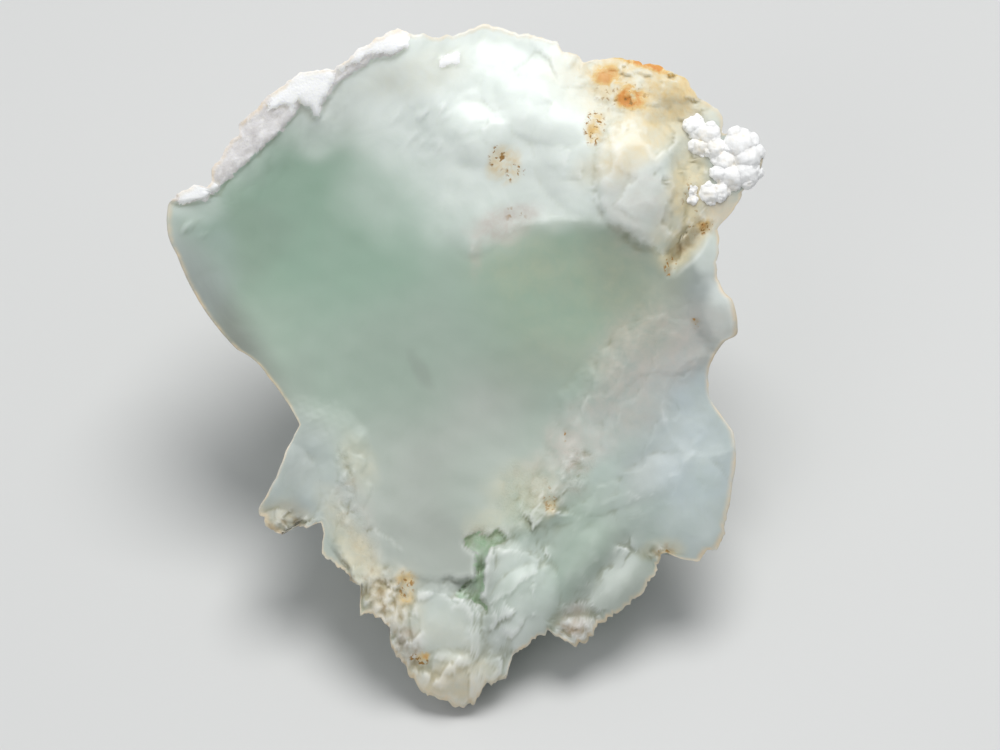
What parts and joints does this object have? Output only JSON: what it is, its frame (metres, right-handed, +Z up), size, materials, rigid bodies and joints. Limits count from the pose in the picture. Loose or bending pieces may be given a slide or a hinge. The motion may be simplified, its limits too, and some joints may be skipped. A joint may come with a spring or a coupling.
{
  "type": "green opal specimen",
  "caption": "Rough lump of pale green common opal with smooth hollow fracture faces, a chalky white rind, an iron-stained patch and small white knobs, resting on a worn flat patch.",
  "frame": {"origin": "on the ground, under the middle of the stone's box as it rests", "axes": "+Z up, -Y towards the side that the broken face looks to, +X to the right of someone who looks at that face"},
  "size_m": [0.0544, 0.0514, 0.0404],
  "materials": {
    "opal": "opaque to milky translucent pale green opal, waxy on its fracture faces, chalk white and dull on its rind, with ochre iron stains"
  },
  "bodies": {
    "root": {"opal": "opal"}
  },
  "joints": []
}
